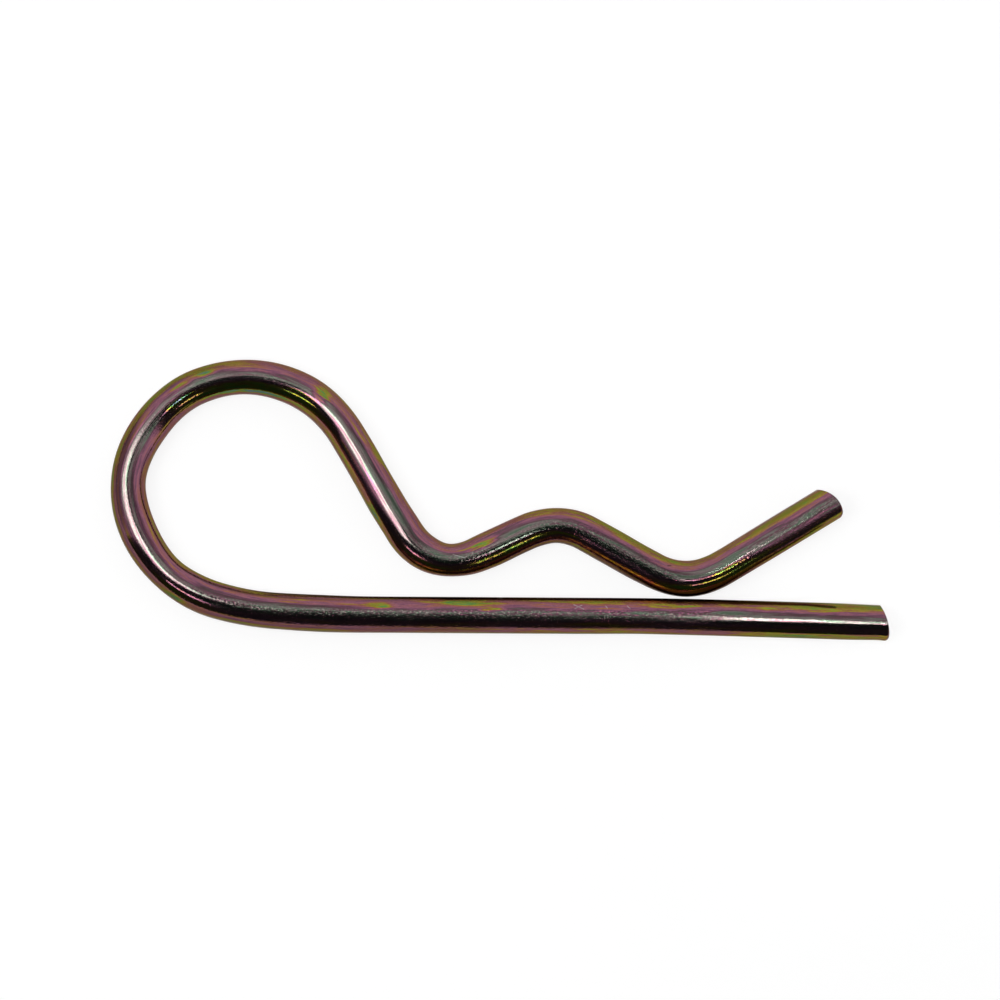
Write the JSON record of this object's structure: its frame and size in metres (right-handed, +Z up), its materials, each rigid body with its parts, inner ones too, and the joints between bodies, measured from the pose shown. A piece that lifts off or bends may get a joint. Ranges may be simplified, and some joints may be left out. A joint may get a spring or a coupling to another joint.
{
  "type": "hitch r clip pin",
  "caption": "R-clip of round spring wire: a straight leg for a hitch pin's cross hole, a round bow to pull it by, and a waved leg whose hump hugs the pin and whose tip guides it on.",
  "frame": {"origin": "under the middle of the clip's outline, on the surface that it lies on", "axes": "+X along the straight leg, from the bow to the sheared ends; +Y from the straight leg to the waved leg; +Z up, square to the plane of the wire"},
  "size_m": [0.0858, 0.0306, 0.004],
  "materials": {
    "zinc_plate": "yellow zinc passivated spring steel, satin, with iridescent olive, pink and grey streaks along the wire"
  },
  "bodies": {
    "root": {"clip_wire": "zinc_plate"}
  },
  "joints": []
}
